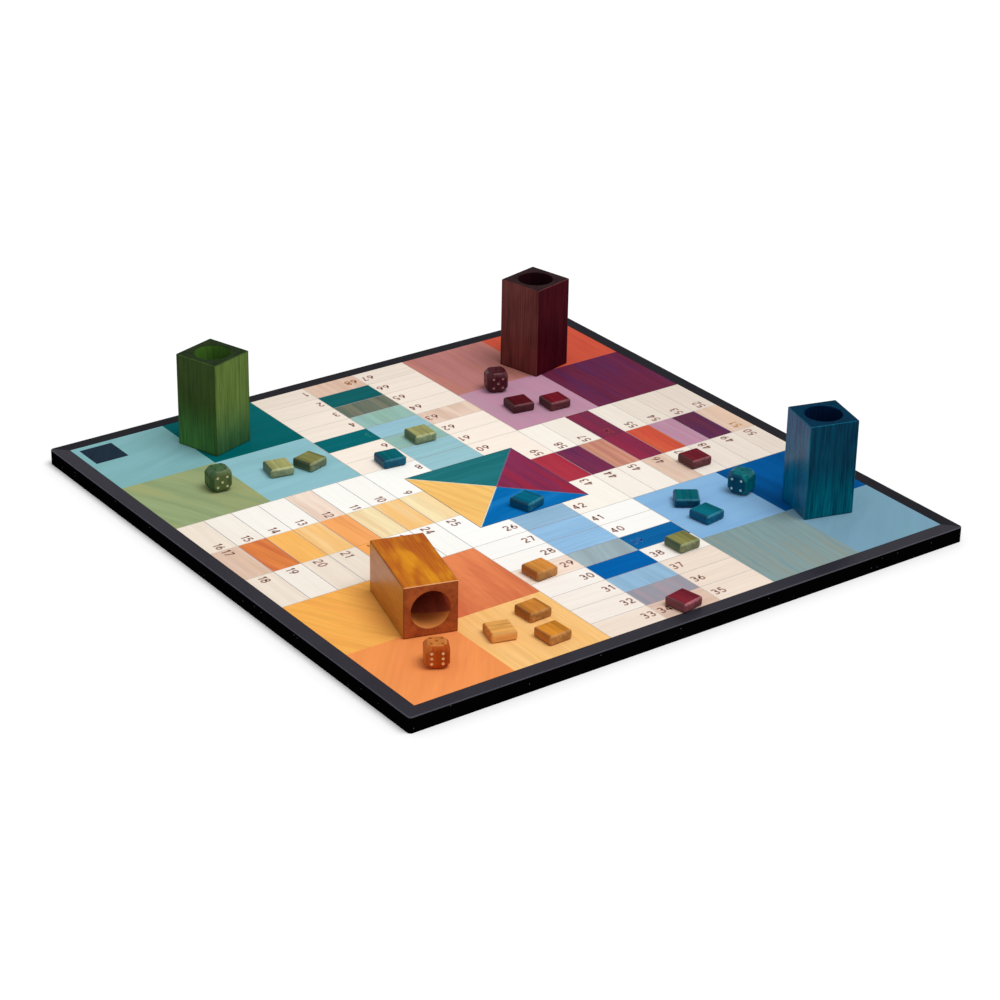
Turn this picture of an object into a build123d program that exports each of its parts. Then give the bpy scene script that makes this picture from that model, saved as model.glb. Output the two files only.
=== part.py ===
from build123d import *
import os
from math import sqrt

# A parchis board inlaid in dyed veneers and edged with a black wooden frame,
# set out for play with four dice cups, four dice and sixteen counters.
# Millimetres, +Z up. The origin is the middle of the underside. The blue arm
# of the cross runs along -Y, red along +X, green along +Y and yellow along -X,
# and each colour's home lies to the right of its arm as its player sees it.

# Playing field: eight rows to an arm, three columns across it
rows_per_arm = 8
row_pitch = 18.8
column_width = 39.4
inlay_gap = 0.3

# Panel, from the underside up
backing_thickness = 0.6
core_thickness = 8.8
veneer_thickness = 0.6
backing_gap = 0.2

# Frame and the tongue that the panel carries in its groove
frame_width = 9.3
frame_corner_radius = 2.2
frame_arris = 0.9
tongue_thickness = 3.0
tongue_length = 3.0
tongue_clearance = 0.1

# Bare dark plaque let into the outer corner of the green home
plaque_side = 22.2
plaque_inset = 4.4

# Dice cups: square blocks bored from one end
cup_side = 31.9
cup_height = 61.2
cup_bore = 23.0
cup_floor = 8.0
cup_arris = 0.5

# Dice; a pip is drilled round, and eight sides here keep a set of 84 light
die_side = 14.2
die_edge_radius = 2.1
die_corner_radius = 10.0
pip_diameter = 1.9
pip_sides = 8
pip_depth = 0.5
pip_offset = 3.1

# Counters
counter_side = 15.6
counter_thickness = 5.9
counter_arris = 0.9

# Sizes that follow from those above
home_side = (rows_per_arm - 1) * row_pitch
arm_half = 1.5 * column_width
field_half = arm_half + home_side
field_side = 2 * field_half
centre_half = field_half - rows_per_arm * row_pitch
board_side = field_side + 2 * frame_width
core_top = backing_thickness + core_thickness
board_top = core_top + veneer_thickness
core_middle = backing_thickness + core_thickness / 2

# The four colours in the order of a quarter turn to the left, blue first
colours = ["blue", "red", "green", "yellow"]

# Where the loose pieces lie: across and along the field, as shares of its
# half width so that each piece keeps its cell, and the turn in degrees
cup_places = {
    "blue": (0.766, -0.680, -15.4),
    "red": (0.690, 0.733, 13.3),
    "green": (-0.572, 0.795, 17.7),
    "yellow": (-0.690, -0.541, -16.0),
}
lying_cups = ["yellow"]

die_places = {
    "blue": (0.633, -0.464, -67.0),
    "red": (0.449, 0.626, -22.2),
    "green": (-0.742, 0.486, -8.5),
    "yellow": (-0.816, -0.842, -29.9),
}

# Pips on top, in front and on the right, and what two opposite faces add up to
opposite_pip_count = 7
pip_counts = {
    "blue": (1, 4, 2),
    "red": (1, 5, 4),
    "green": (4, 5, 1),
    "yellow": (5, 6, 3),
}

counter_places = {
    "blue": [(-0.183, 0.338, -6.5), (0.001, -0.164, 17.1), (0.433, -0.432, -34.6), (0.417, -0.552, 9.1)],
    "red": [(0.423, 0.456, -8.6), (0.537, 0.405, -3.5), (0.643, -0.217, 0.0), (-0.010, -0.962, 10.9)],
    "green": [(-0.521, 0.480, -10.5), (-0.411, 0.465, 17.5), (0.005, 0.438, -3.0), (0.229, -0.661, 2.6)],
    "yellow": [(-0.245, -0.563, 3.8), (-0.415, -0.760, 2.8), (-0.570, -0.809, -15.5), (-0.449, -0.903, 2.1)],
}


def save(shape, node):
    """Write one named piece, or one group of like pieces, to its own file."""
    shape.label = node
    export_step(shape, os.path.join("parts", node + ".step"))


def quarter_turn(shape, colour):
    """Turn a piece of the blue side to the same place on another colour's side."""
    return shape.rotate(Axis.Z, 90 * colours.index(colour))


def veneer(points):
    """A flat piece of veneer on the core, from the corners of its outline."""
    outline = make_face(Polyline(*points, close=True))
    return Pos(0, 0, core_top) * extrude(outline, veneer_thickness)


def tile(x0, y0, x1, y1):
    """An oblong piece of veneer, half a joint line inside the cell's bounds."""
    g = inlay_gap / 2
    return veneer([(x0 + g, y0 + g), (x1 - g, y0 + g), (x1 - g, y1 - g), (x0 + g, y1 - g)])


def row_bounds(row):
    """The near and far edges of a row of the blue arm; row 1 is at the frame."""
    y0 = -field_half + (row - 1) * row_pitch
    return y0, y0 + row_pitch


def corridor_cells():
    """The middle column of the blue arm, the way home to the centre."""
    x = column_width / 2
    cells = [tile(-x, row_bounds(r)[0], x, row_bounds(r)[1]) for r in range(1, rows_per_arm + 1)]
    return Compound(cells)


def corner_cell():
    """The bent piece at the cross's inner corner, which holds two cells."""
    g = inlay_gap / 2
    outer = -arm_half + g
    inner = -centre_half - g
    end = -column_width / 2 - g
    return veneer([(outer, outer), (end, outer), (end, inner), (inner, inner), (inner, end), (outer, end)])


def arm_cells():
    """Both side columns of the blue arm, with the bent piece on its left."""
    x0 = column_width / 2
    x1 = arm_half
    cells = []
    for row in range(1, rows_per_arm):
        y0, y1 = row_bounds(row)
        cells.append(tile(-x1, y0, -x0, y1))
        cells.append(tile(x0, y0, x1, y1))
    cells.append(corner_cell())
    return Compound(cells)


def centre_triangle():
    """The blue quarter of the centre square, with its point in the middle."""
    g = inlay_gap / 2
    base = -centre_half + g
    slant = g * sqrt(2)
    reach = centre_half - g - slant
    return veneer([(-reach, base), (reach, base), (0, -slant)])


def home_panel(number):
    """One quarter of the blue home, counted to the left from the outer corner.

    The four meet edge to edge, with a joint line only round the whole home."""
    side = (home_side - inlay_gap) / 2
    column = [1, 1, 0, 0][number - 1]
    row = [0, 1, 1, 0][number - 1]
    x0 = arm_half + inlay_gap / 2 + column * side
    y0 = -field_half + inlay_gap / 2 + row * side
    return veneer([(x0, y0), (x0 + side, y0), (x0 + side, y0 + side), (x0, y0 + side)])


def plaque(side):
    """A square at the outer corner of the green home, as thick as the veneer."""
    middle = field_half - plaque_inset - plaque_side / 2
    square = Rectangle(side, side)
    return Pos(-middle, middle, core_top) * extrude(square, veneer_thickness)


def core_panel():
    """The board's core, with a tongue along all four edges."""
    slab = Box(field_side, field_side, core_thickness)
    reach = field_side + 2 * tongue_length
    tongue = Box(reach, reach, tongue_thickness)
    return Pos(0, 0, core_middle) * (slab + tongue)


def backing_veneer():
    """The sheet under the core that keeps it flat."""
    side = field_side - 2 * backing_gap
    return Pos(0, 0, backing_thickness / 2) * Box(side, side, backing_thickness)


def frame_ring():
    """The whole frame before it is parted: rounded outside, grooved inside."""
    outline = RectangleRounded(board_side, board_side, frame_corner_radius)
    ring = extrude(outline, board_top)
    top_edges = ring.edges().group_by(Axis.Z)[-1]
    ring = fillet(top_edges, frame_arris)
    opening = Box(field_side, field_side, 2 * board_top)
    groove_side = field_side + 2 * (tongue_length + tongue_clearance)
    groove_height = tongue_thickness + 2 * tongue_clearance
    groove = Pos(0, 0, core_middle) * Box(groove_side, groove_side, groove_height)
    return ring - Pos(0, 0, board_top / 2) * opening - groove


def frame_rail(ring, colour):
    """The rail on one colour's side, cut from the frame along its mitres."""
    wedge = make_face(Polyline((0, 0), (-board_side, -board_side), (board_side, -board_side), close=True))
    return ring & quarter_turn(extrude(wedge, board_top), colour)


def dice_cup():
    """A cup standing on its floor, with its blind bore open upwards."""
    block = Pos(0, 0, cup_height / 2) * Box(cup_side, cup_side, cup_height)
    block = chamfer(block.edges(), cup_arris)
    bore_depth = cup_height - cup_floor
    bore = Pos(0, 0, cup_floor + bore_depth / 2) * Cylinder(cup_bore / 2, bore_depth)
    return block - bore


def laid_down(cup):
    """Tip a standing cup onto its side, with its mouth towards -Y."""
    return Pos(0, cup_height / 2, cup_side / 2) * Rot(90, 0, 0) * cup


def pip_spots(count):
    """Where a face's pips sit, in steps of the pip offset from its middle."""
    corners = [(-1, -1), (1, 1), (-1, 1), (1, -1)]
    spots = corners[: min(4, count - count % 2)]
    if count % 2:
        spots.append((0, 0))
    if count == 6:
        spots += [(-1, 0), (1, 0)]
    return spots


def die(top, front, right):
    """A die with its middle at the origin and its pips sunk into its faces."""
    cube = fillet(Box(die_side, die_side, die_side).edges(), die_edge_radius)
    body = cube & Sphere(die_corner_radius)
    pip = extrude(RegularPolygon(pip_diameter / 2, pip_sides), -pip_depth)
    turned_faces = [
        (top, Rot(0, 0, 0)),
        (opposite_pip_count - top, Rot(180, 0, 0)),
        (front, Rot(90, 0, 0)),
        (opposite_pip_count - front, Rot(-90, 0, 0)),
        (right, Rot(0, 90, 0)),
        (opposite_pip_count - right, Rot(0, -90, 0)),
    ]
    for count, turn in turned_faces:
        for u, v in pip_spots(count):
            body -= turn * Pos(u * pip_offset, v * pip_offset, die_side / 2) * pip
    return body


def counter():
    """A square counter with its arrises taken off, standing on its underside."""
    block = Box(counter_side, counter_side, counter_thickness)
    return Pos(0, 0, counter_thickness / 2) * chamfer(block.edges(), counter_arris)


def on_board(shape, place):
    """Set a loose piece down on the field at its place and turn."""
    across, along, turn = place
    return Pos(across * field_half, along * field_half, board_top) * Rot(0, 0, turn) * shape


def build_board():
    """The frame, the panel and its inlays."""
    ring = frame_ring()
    for side, colour in zip(["front", "right", "back", "left"], colours):
        save(frame_rail(ring, colour), "frame_rail_" + side)
    save(core_panel(), "core_panel")
    save(backing_veneer(), "backing_veneer")
    save(plaque(plaque_side), "corner_plaque")
    for colour in colours:
        save(quarter_turn(corridor_cells(), colour), colour + "_corridor_cells")
        save(quarter_turn(arm_cells(), colour), colour + "_arm_cells")
        save(quarter_turn(centre_triangle(), colour), colour + "_centre_triangle")
        for number in range(1, 5):
            panel = quarter_turn(home_panel(number), colour)
            if colour == "green" and number == 1:
                panel -= plaque(plaque_side + inlay_gap)
            save(panel, colour + "_home_panel_" + str(number))


def build_loose_pieces():
    """The cups, dice and counters, each where it lies on the field."""
    for colour in colours:
        cup = laid_down(dice_cup()) if colour in lying_cups else dice_cup()
        save(on_board(cup, cup_places[colour]), colour + "_cup")
        cube = Pos(0, 0, die_side / 2) * die(*pip_counts[colour])
        save(on_board(cube, die_places[colour]), colour + "_die")
        for number, place in enumerate(counter_places[colour], 1):
            save(on_board(counter(), place), colour + "_counter_" + str(number))


os.makedirs("parts", exist_ok=True)
build_board()
build_loose_pieces()
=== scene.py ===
from math import cos, hypot, pi, radians, sin, sqrt

import bpy
from bpy.props import FloatProperty, FloatVectorProperty, IntProperty, PointerProperty
from bpy.types import Operator, Panel, PropertyGroup
from mathutils import Euler, Matrix, Vector


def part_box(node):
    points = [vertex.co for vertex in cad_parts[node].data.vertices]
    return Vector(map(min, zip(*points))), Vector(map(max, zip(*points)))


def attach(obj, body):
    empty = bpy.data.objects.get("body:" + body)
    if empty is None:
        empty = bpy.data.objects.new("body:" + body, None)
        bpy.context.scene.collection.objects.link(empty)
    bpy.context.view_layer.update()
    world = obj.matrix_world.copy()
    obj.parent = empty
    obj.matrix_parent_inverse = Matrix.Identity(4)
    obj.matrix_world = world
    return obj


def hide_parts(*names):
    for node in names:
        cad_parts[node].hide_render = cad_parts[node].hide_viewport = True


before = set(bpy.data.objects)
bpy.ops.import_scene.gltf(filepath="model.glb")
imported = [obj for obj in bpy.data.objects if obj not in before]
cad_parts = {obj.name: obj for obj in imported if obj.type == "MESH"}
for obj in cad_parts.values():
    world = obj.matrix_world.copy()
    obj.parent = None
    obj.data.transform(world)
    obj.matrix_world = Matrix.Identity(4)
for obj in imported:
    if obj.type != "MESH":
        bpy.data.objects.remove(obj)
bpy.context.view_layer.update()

bl_info = {
    "name": "Parchis Board",
    "version": (1, 0, 0),
    "blender": (4, 5, 0),
    "location": "View3D > Sidebar > Parchis",
    "description": "Inlays and finishes a parchis board with its cups, dice and counters",
    "category": "Object",
}

# Places on the board, in metres, read from the frame. An arm's places are
# those of the blue arm, which runs along -Y; the others are quarter turns.
colours = ["blue", "red", "green", "yellow"]
rows_per_arm = 8
safe_row = 5  # counted from the frame, the row of the safe cell and the start cell
joint = -2 * (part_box("blue_centre_triangle")[1].y / sqrt(2))
board_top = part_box("blue_arm_cells")[1].z
field_half = -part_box("frame_rail_front")[1].y
arm_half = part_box("blue_arm_cells")[1].x + joint / 2
corridor_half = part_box("blue_corridor_cells")[1].x + joint / 2
centre_half = -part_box("blue_centre_triangle")[0].y + joint / 2
row_pitch = (field_half - centre_half) / rows_per_arm


def screen(red, green, blue):
    """A colour as seen on a screen, 0 to 255, in the linear light of a shader."""
    channels = []
    for level in (red / 255, green / 255, blue / 255):
        channels.append(level / 12.92 if level <= 0.04045 else ((level + 0.055) / 1.055) ** 2.4)
    return tuple(channels)


def seen(table):
    """A table of screen colours, each turned into linear light."""
    if isinstance(table, dict):
        return {name: seen(entry) for name, entry in table.items()}
    if isinstance(table[0], tuple):
        return [seen(entry) for entry in table]
    return screen(*table)


# The dyes of the veneers, as they look on the finished board
dyes = seen({
    "pale_aqua": (118, 156, 177), "sea_aqua": (124, 173, 177), "deep_blue": (3, 86, 152),
    "night_blue": (2, 66, 122), "cornflower": (131, 176, 216), "sage_grey": (131, 156, 158),
    "taupe": (146, 152, 140), "vermilion": (202, 84, 62), "salmon": (182, 121, 117),
    "sienna": (202, 132, 108), "mauve": (187, 139, 162), "plum": (108, 40, 68), "violet": (72, 44, 92),
    "olive": (148, 165, 120), "dry_grass": (168, 168, 112), "sky": (143, 190, 200), "teal": (3, 95, 99),
    "orange": (242, 150, 86), "straw": (249, 197, 127), "terracotta": (231, 136, 88),
    "burnt_sienna": (198, 98, 66), "golden": (250, 180, 88), "honey": (236, 150, 78),
    "royal_blue": (6, 108, 178), "azure": (30, 130, 200), "magenta": (133, 48, 84),
    "cherry": (158, 42, 62), "green_teal": (35, 117, 123), "sunny": (249, 197, 114),
    "slate": (150, 152, 163), "dusty_rose": (178, 152, 160), "mist_blue": (147, 184, 211),
    "bright_blue": (4, 97, 170), "grey_blue": (158, 179, 185), "sky_blue": (148, 191, 226),
    "aubergine": (98, 46, 71), "brick": (204, 84, 64), "tangerine": (226, 134, 74), "wine": (142, 44, 71),
    "ruby": (172, 36, 70), "rose_brown": (205, 140, 122), "claret": (120, 48, 80),
    "crimson": (172, 54, 70), "dark_teal": (18, 94, 97), "moss": (107, 117, 103),
    "lichen": (134, 128, 106), "pale_sage": (149, 186, 172), "pale_teal": (152, 195, 204),
    "amber": (247, 186, 103), "apricot": (243, 167, 102), "cream": (251, 228, 182),
    "tan": (232, 188, 138), "peach_beige": (222, 193, 173), "blush": (249, 226, 209),
    "blue_start": (15, 99, 160), "purple_start": (117, 47, 74), "teal_start": (7, 103, 110),
    # The maple tones hold painted light: the centre tones are whiter as under a pool of light over the
    # middle, and the red and green arms' edge tones are darker as painted shade towards those edges.
    "orange_start": (245, 168, 95), "blue_maple_edge": (243, 226, 210),
    "blue_maple_centre": (255, 254, 250), "red_maple_edge": (231, 218, 205),
    "red_maple_centre": (253, 246, 235), "green_maple_edge": (235, 222, 208),
    "green_maple_centre": (252, 240, 227), "yellow_maple_edge": (242, 229, 213),
    "yellow_maple_centre": (255, 253, 248), "core": (186, 158, 122), "backing": (168, 134, 98),
    "plaque": (32, 46, 60),
})


def veneer_figure(arch=0.05, rings=0.0, streaks=0.25, width=4.0, fibres=0.22, clouds=0.3):
    """What shows in a veneer's wood: each feature's share, and the streaks' width in
    millimetres, under the names of the shader group's inputs."""
    return {"Arch": arch, "Rings": rings, "Streaks": streaks, "Streak Width": width, "Fibres": fibres,
            "Clouds": clouds}


def look(dye, tint=None, turn=0, **features):
    """A veneer's dye and second dye, its grain's turn in degrees, and its figure."""
    return dye, tint or dye, turn, veneer_figure(**features)


# The four veneers of each home, with their grain turned from +X
home_looks = {
    "blue_home_panel_1": look("pale_aqua", "sea_aqua", 40, streaks=0.14, width=14, fibres=0.12, clouds=0.15),
    "blue_home_panel_2": look("deep_blue", "night_blue", 95, streaks=0.20, width=8, clouds=0.5),
    "blue_home_panel_3": look("cornflower", "sky_blue", 5, streaks=0.12, width=7, fibres=0.12),
    "blue_home_panel_4": look("sage_grey", "taupe", 88, streaks=0.30, width=3, clouds=0.6),
    "red_home_panel_1": look("vermilion", "brick", 90, streaks=0.25, width=5),
    "red_home_panel_2": look("salmon", "sienna", 90, streaks=0.32, width=4.4, fibres=0.25, clouds=0.35),
    "red_home_panel_3": look("mauve", "dusty_rose", 90, streaks=0.10, width=6, fibres=0.12),
    "red_home_panel_4": look("plum", "violet", 90, streaks=0.35, width=5, fibres=0.3, clouds=0.45),
    "green_home_panel_1": look("sea_aqua", "sky", 20, streaks=0.10, width=9, fibres=0.12),
    "green_home_panel_2": look("olive", "dry_grass", 115, rings=0.06, streaks=0.30, width=7, clouds=0.6),
    "green_home_panel_3": look("sky", "sea_aqua", 4, streaks=0.12, width=8, fibres=0.12),
    "green_home_panel_4": look("teal", "dark_teal", 2, streaks=0.20, width=7, fibres=0.15),
    "yellow_home_panel_1": look("orange", "honey", 50, rings=0.05, streaks=0.22, width=9, fibres=0.12),
    "yellow_home_panel_2": look("straw", "amber", 90, streaks=0.30, width=3.2, fibres=0.25),
    "yellow_home_panel_3": look(
        "terracotta", "burnt_sienna", 84, arch=0.3, rings=0.08, streaks=0.35, width=6, clouds=0.6),
    "yellow_home_panel_4": look("golden", "honey", 120, rings=0.05, streaks=0.30, width=3.6, fibres=0.25),
}

centre_looks = {
    "blue": look("royal_blue", "azure", 10, streaks=0.30, width=5, clouds=0.5),
    "red": look("magenta", "cherry", 90, streaks=0.50, width=5, clouds=0.8),
    "green": look("green_teal", "teal", streaks=0.30, width=2.4, fibres=0.3),
    "yellow": look("sunny", "amber", 105, streaks=0.35, width=4, fibres=0.25),
}

# The corridors' cells from the frame to the centre, with their grain turned
# from the way across the arm
corridor_looks = {
    "blue": [
        look("peach_beige", "dusty_rose", clouds=0.2),
        look("slate", "dusty_rose", 90, streaks=0.2, width=6, clouds=0.6),
        look("mist_blue", "sky_blue", 90, streaks=0.3, width=5),
        look("bright_blue", "deep_blue"),
        look("grey_blue", "slate", 75, streaks=0.3, width=4),
        look("sky_blue", "cornflower"),
        look("sky_blue", "mist_blue"),
        look("mist_blue", "sky_blue"),
    ],
    "red": [
        look("peach_beige", "tan", clouds=0.15),
        look("aubergine", "violet", streaks=0.3, clouds=0.5),
        look("mauve", "dusty_rose"),
        look("brick", "tangerine", streaks=0.3, width=3, clouds=0.2),
        look("wine", "claret", streaks=0.35, clouds=0.4),
        look("rose_brown", "tan", streaks=0.45, width=3, fibres=0.3, clouds=0.2),
        look("claret", "violet", streaks=0.3, clouds=0.45),
        look("crimson", "ruby", streaks=0.3, clouds=0.5),
    ],
    "green": [
        look("peach_beige", "sienna", 90, streaks=0.25, width=3, fibres=0.3, clouds=0.15),
        look("dark_teal", "teal"),
        look("moss", "lichen", 90, streaks=0.5, width=3, fibres=0.35, clouds=0.55),
        look("pale_sage", "pale_teal", 90, streaks=0.35, width=4, clouds=0.4),
        look("pale_teal", "sky_blue"),
        look("pale_sage", "sky"),
        look("pale_teal", "sky"),
        look("pale_teal", "sky", streaks=0.15),
    ],
    "yellow": [
        look("peach_beige", "tan"),
        look("tangerine", "burnt_sienna", 12, streaks=0.45, width=4, clouds=0.5),
        look("amber", "golden"),
        look("straw", "cream"),
        look("apricot", "golden", streaks=0.3),
        look("cream", "tan", streaks=0.3, width=3, clouds=0.5),
        look("straw", "cream", clouds=0.5),
        look("cream", "straw", clouds=0.4),
    ],
}
safe_looks = {
    "blue": look("blush", "peach_beige", clouds=0.2),
    "red": look("peach_beige", "blush", streaks=0.35, clouds=0.4),
    "green": look("peach_beige", "blush", 90, streaks=0.3, width=7, clouds=0.7),
    "yellow": look("blush", "peach_beige", streaks=0.4, width=6, clouds=0.6),
}
start_looks = {
    "blue": look("blue_start", "deep_blue"),
    "red": look("purple_start", "wine", clouds=0.6),
    "green": look("teal_start", "teal"),
    "yellow": look("orange_start", "golden"),
}

# How soon an arm's pale cells turn whiter on the way to the centre, as a painted
# pool of light over the middle of the board: 1 is evenly
maple_fades = {"blue": 0.5, "red": 1.0, "green": 0.6, "yellow": 0.35}

# Between which rows of an arm's right column the cells are darker, if anywhere;
# in the yellow arm they are a painted shadow of the lying yellow cup
tan_rows = {"yellow": 3.6, "blue": 2.5}
no_tan_row = -10.0

# The figure of the pale cells, and the grey of dust on the frame
maple_figure = veneer_figure(arch=0.02, rings=0.04, streaks=0.28, width=2.6, fibres=0.30, clouds=0.4)
dust_grey = (0.35, 0.35, 0.36, 1.0)

# Turns of the loose pieces about the upright, in degrees, as they lie; a quarter
# turn more lays a counter's grain the other way
cup_turns = {"blue": -15.4, "red": 13.3, "green": 17.7, "yellow": -16.0}
lying_cups = ["yellow"]
die_turns = {"blue": -67.0, "red": -22.2, "green": -8.5, "yellow": -29.9}
counter_turns = {
    "blue": [-6.5, 17.1, -34.6, 9.1],
    "red": [-8.6, -3.5, 0.0, 10.9],
    "green": [-10.5, 17.5, -3.0, 2.6],
    "yellow": [3.8, 2.8, 74.5, 2.1],
}

# Pips on a die's top, front and right; opposite faces add up to seven
opposite_pip_count = 7
pip_counts = {"blue": (1, 4, 2), "red": (1, 5, 4), "green": (4, 5, 1), "yellow": (5, 6, 3)}

# Stains of the solid pieces, each part with a light and a dark tone. The end
# grain took the stain deeper. The left sides, which face -X as the pieces lie,
# hold painted light and shade: darker as painted shade on the counters, the
# green and yellow cups and the blue and green dice, lighter as a painted
# reflection on the blue and red cups, and lighter as painted light on the yellow
# die. A crest, an upper arris facing -Y, is a painted highlight.
cup_stains = seen({
    "blue": {
        "sides": ((0, 100, 118), (0, 46, 66)),
        "left": ((0, 112, 150), (0, 62, 96)),
        "arris": ((18, 108, 136), (0, 62, 88)),
        "end": ((2, 56, 84), (0, 38, 60)),
        "bore": ((10, 40, 80), (6, 22, 48)),
    },
    "red": {
        "sides": ((80, 17, 29), (38, 6, 13)),
        "left": ((118, 56, 52), (68, 22, 24)),
        "arris": ((116, 58, 56), (64, 28, 30)),
        "end": ((56, 36, 38), (30, 18, 20)),
        "bore": ((50, 20, 26), (28, 10, 16)),
    },
    "green": {
        "sides": ((114, 140, 72), (72, 98, 46)),
        "left": ((66, 100, 44), (38, 62, 30)),
        "arris": ((74, 102, 50), (44, 66, 32)),
        "end": ((46, 60, 34), (26, 38, 20)),
        "bore": ((88, 134, 52), (50, 84, 30)),
    },
    "yellow": {
        "sides": ((206, 136, 40), (150, 84, 22)),
        "left": ((186, 114, 34), (146, 76, 18)),
        "up": ((224, 148, 8), (178, 86, 0)),
        "arris": ((168, 98, 40), (104, 56, 24)),
        "crest": ((240, 178, 122), (216, 144, 88)),
        "end": ((192, 104, 54), (132, 62, 32)),
        "bore": ((206, 112, 84), (136, 62, 46)),
    },
})

# How a cup's part changes towards its mouth and towards its foot: factors on
# the stain's red, green and blue. The green cup's sides darken at the foot as
# painted shade where the cup stands on the board.
cup_fades = {
    "blue_sides": ((1.0, 0.48, 0.64), (1.0, 1.42, 1.36)),
    "green_sides": ((1.0, 0.97, 0.90), (0.34, 0.62, 0.90)),
    "green_left": ((0.80, 0.66, 0.62), (1.25, 1.75, 1.95)),
    "yellow_up": ((1.02, 1.02, 1.0), (0.85, 0.72, 1.0)),
}
even_fade = ((1.0, 1.0, 1.0), (1.0, 1.0, 1.0))

# Where a cup's lacquer shines most, as the specular level of its part
cup_gloss = {"blue_left": 0.34, "yellow_left": 0.30, "red_left": 0.10, "red_sides": 0.006,
             "yellow_crest": 0.06, "yellow_arris": 0.006, "green_arris": 0.01}

# The shares of blotches, streaks and pores in a cup's figure
cup_figures = {"blue": (0.22, 0.10, 0.80), "red": (0.25, 0.12, 0.65), "green": (0.25, 0.12, 0.62),
               "yellow": (0.30, 0.25, 0.30), "yellow_up": (0.75, 0.12, 0.30), "yellow_bore": (0.7, 0.1, 0.1)}
# Painted light: a lit patch on the lowest wall of the lying cup's bore, just inside its mouth.
bore_light_colour = screen(232, 152, 76)

die_stains = seen({
    "blue": {
        "sides": ((0, 122, 126), (0, 86, 96)),
        "left": ((0, 82, 108), (0, 54, 76)),
        "up": ((2, 112, 118), (0, 82, 92)),
    },
    "red": {
        "sides": ((88, 34, 42), (50, 18, 24)),
        "up": ((80, 18, 28), (50, 12, 18)),
    },
    "green": {
        "sides": ((98, 116, 72), (60, 76, 44)),
        "left": ((72, 100, 60), (40, 66, 38)),
        "up": ((86, 112, 78), (56, 84, 54)),
    },
    "yellow": {
        "sides": ((184, 82, 26), (134, 50, 14)),
        "left": ((204, 110, 48), (156, 74, 28)),
        "up": ((216, 134, 64), (170, 96, 42)),
    },
})
counter_tones = seen({
    "blue": [(2, 94, 104), (2, 101, 128), (2, 91, 102), (2, 102, 119)],
    "red": [(82, 20, 28), (114, 26, 38), (106, 28, 38), (120, 36, 48)],
    "green": [(160, 160, 104), (130, 130, 76), (152, 152, 98), (132, 130, 74)],
    "yellow": [(210, 138, 62), (204, 130, 54), (224, 162, 86), (212, 136, 46)],
})
# Sides of the counters: the left sides are painted shade, and each crest, the upper arris facing -Y, is a
# painted highlight.
counter_sides = seen({
    "blue": {"sides": (14, 98, 130), "left": (10, 78, 108), "crest": (50, 124, 146)},
    "red": {"sides": (112, 60, 66), "left": (92, 50, 54), "crest": (142, 82, 88)},
    "green": {"sides": (146, 154, 118), "left": (86, 104, 76), "crest": (172, 178, 130)},
    "yellow": {"sides": (210, 146, 82), "left": (184, 114, 52), "crest": (218, 152, 84)},
})
pip_paints = seen({
    "blue": (190, 214, 214), "red": (160, 122, 116), "green": (200, 200, 150), "yellow": (235, 192, 142),
})

# Middle numbers' distances further from the corridor's left edge, in metres
middle_number_shifts = {"blue": 0.0, "red": 0.0028, "green": 0.0011, "yellow": -0.0007}
middle_number_inks = seen({
    "blue": (150, 112, 100), "red": (204, 156, 108), "green": (178, 120, 80), "yellow": (150, 112, 100),
})
start_number_inks = seen({
    "blue": (56, 100, 166), "red": (150, 55, 62), "green": (30, 125, 126), "yellow": (212, 134, 72),
})

# The side of each die, along its own X, whose pips are dark as the top's are, instead of cream
dark_pip_sides = {"blue": 1, "red": -1, "green": -1, "yellow": -1}

# How glossy the dice are, as their specular level
die_gloss = {"blue": 0.10, "red": 0.13, "green": 0.13, "yellow": 0.03}


def distance(name, description, default):
    """A length that a user can set, in metres."""
    return FloatProperty(
        name=name, description=description, default=default, min=0.00001, subtype="DISTANCE", unit="LENGTH")


def angle(name, description, degrees):
    """An angle that a user can set."""
    return FloatProperty(name=name, description=description, default=radians(degrees), subtype="ANGLE")


def pigment(name, description, default):
    """A colour that a user can pick, in linear light."""
    return FloatVectorProperty(
        name=name, description=description, subtype="COLOR", size=3, min=0.0, max=1.0, default=default)


class BoardSizes(PropertyGroup):
    """Sizes of what is inlaid in and printed on the board."""

    joint_depth: distance("Joint Depth", "How deep the filler between two veneers goes", 0.0004)
    joint_width: distance("Joint Width", "Width of the filler wiped over a joint", 0.00042)
    mitre_width: distance("Mitre Width", "Width of the filler between two triangles", 0.0008)
    joint_crown: distance("Joint Crown", "How far the filler stands on the veneers", 0.00002)
    digit_height: distance("Digit Height", "Height of the printed numbers", 0.0065)
    digit_stroke: distance("Digit Stroke", "Width of the printed stroke", 0.00115)
    digit_spacing: distance("Digit Spacing", "Clear space between two digits", 0.0007)
    number_margin: distance("Number Margin", "Clear space between a number and the corridor", 0.0016)
    ink_thickness: distance("Ink Thickness", "How far the ink stands on the lacquer", 0.00003)


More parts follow.
